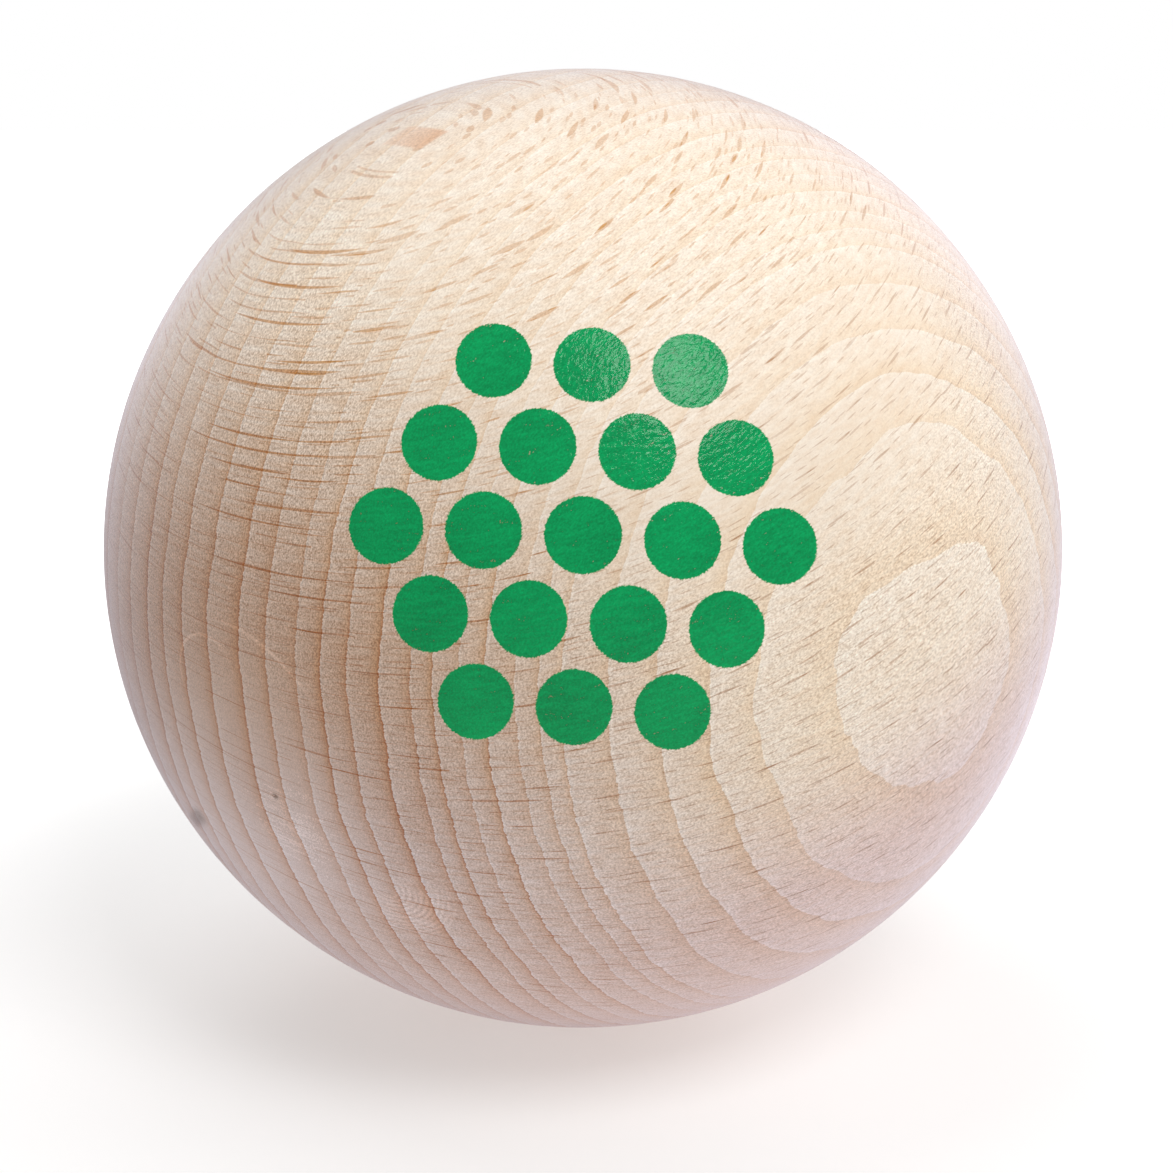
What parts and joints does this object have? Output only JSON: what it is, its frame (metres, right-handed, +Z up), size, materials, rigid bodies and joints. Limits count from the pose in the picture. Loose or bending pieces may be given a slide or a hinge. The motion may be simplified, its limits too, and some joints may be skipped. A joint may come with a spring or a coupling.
{
  "type": "wooden ball",
  "caption": "Turned solid beech ball with a sanded satin surface and a small green dot print on its front.",
  "frame": {"origin": "centre of the ball", "axes": "+Z up, -Y towards the viewer of the printed front, +X to that viewer's right"},
  "size_m": [0.07, 0.07, 0.07],
  "materials": {
    "beech": "finely sanded beech, satin, pale cream to pinkish tan, with a semi-gloss green ink print on the front"
  },
  "bodies": {
    "root": {"ball": "beech"}
  },
  "joints": []
}
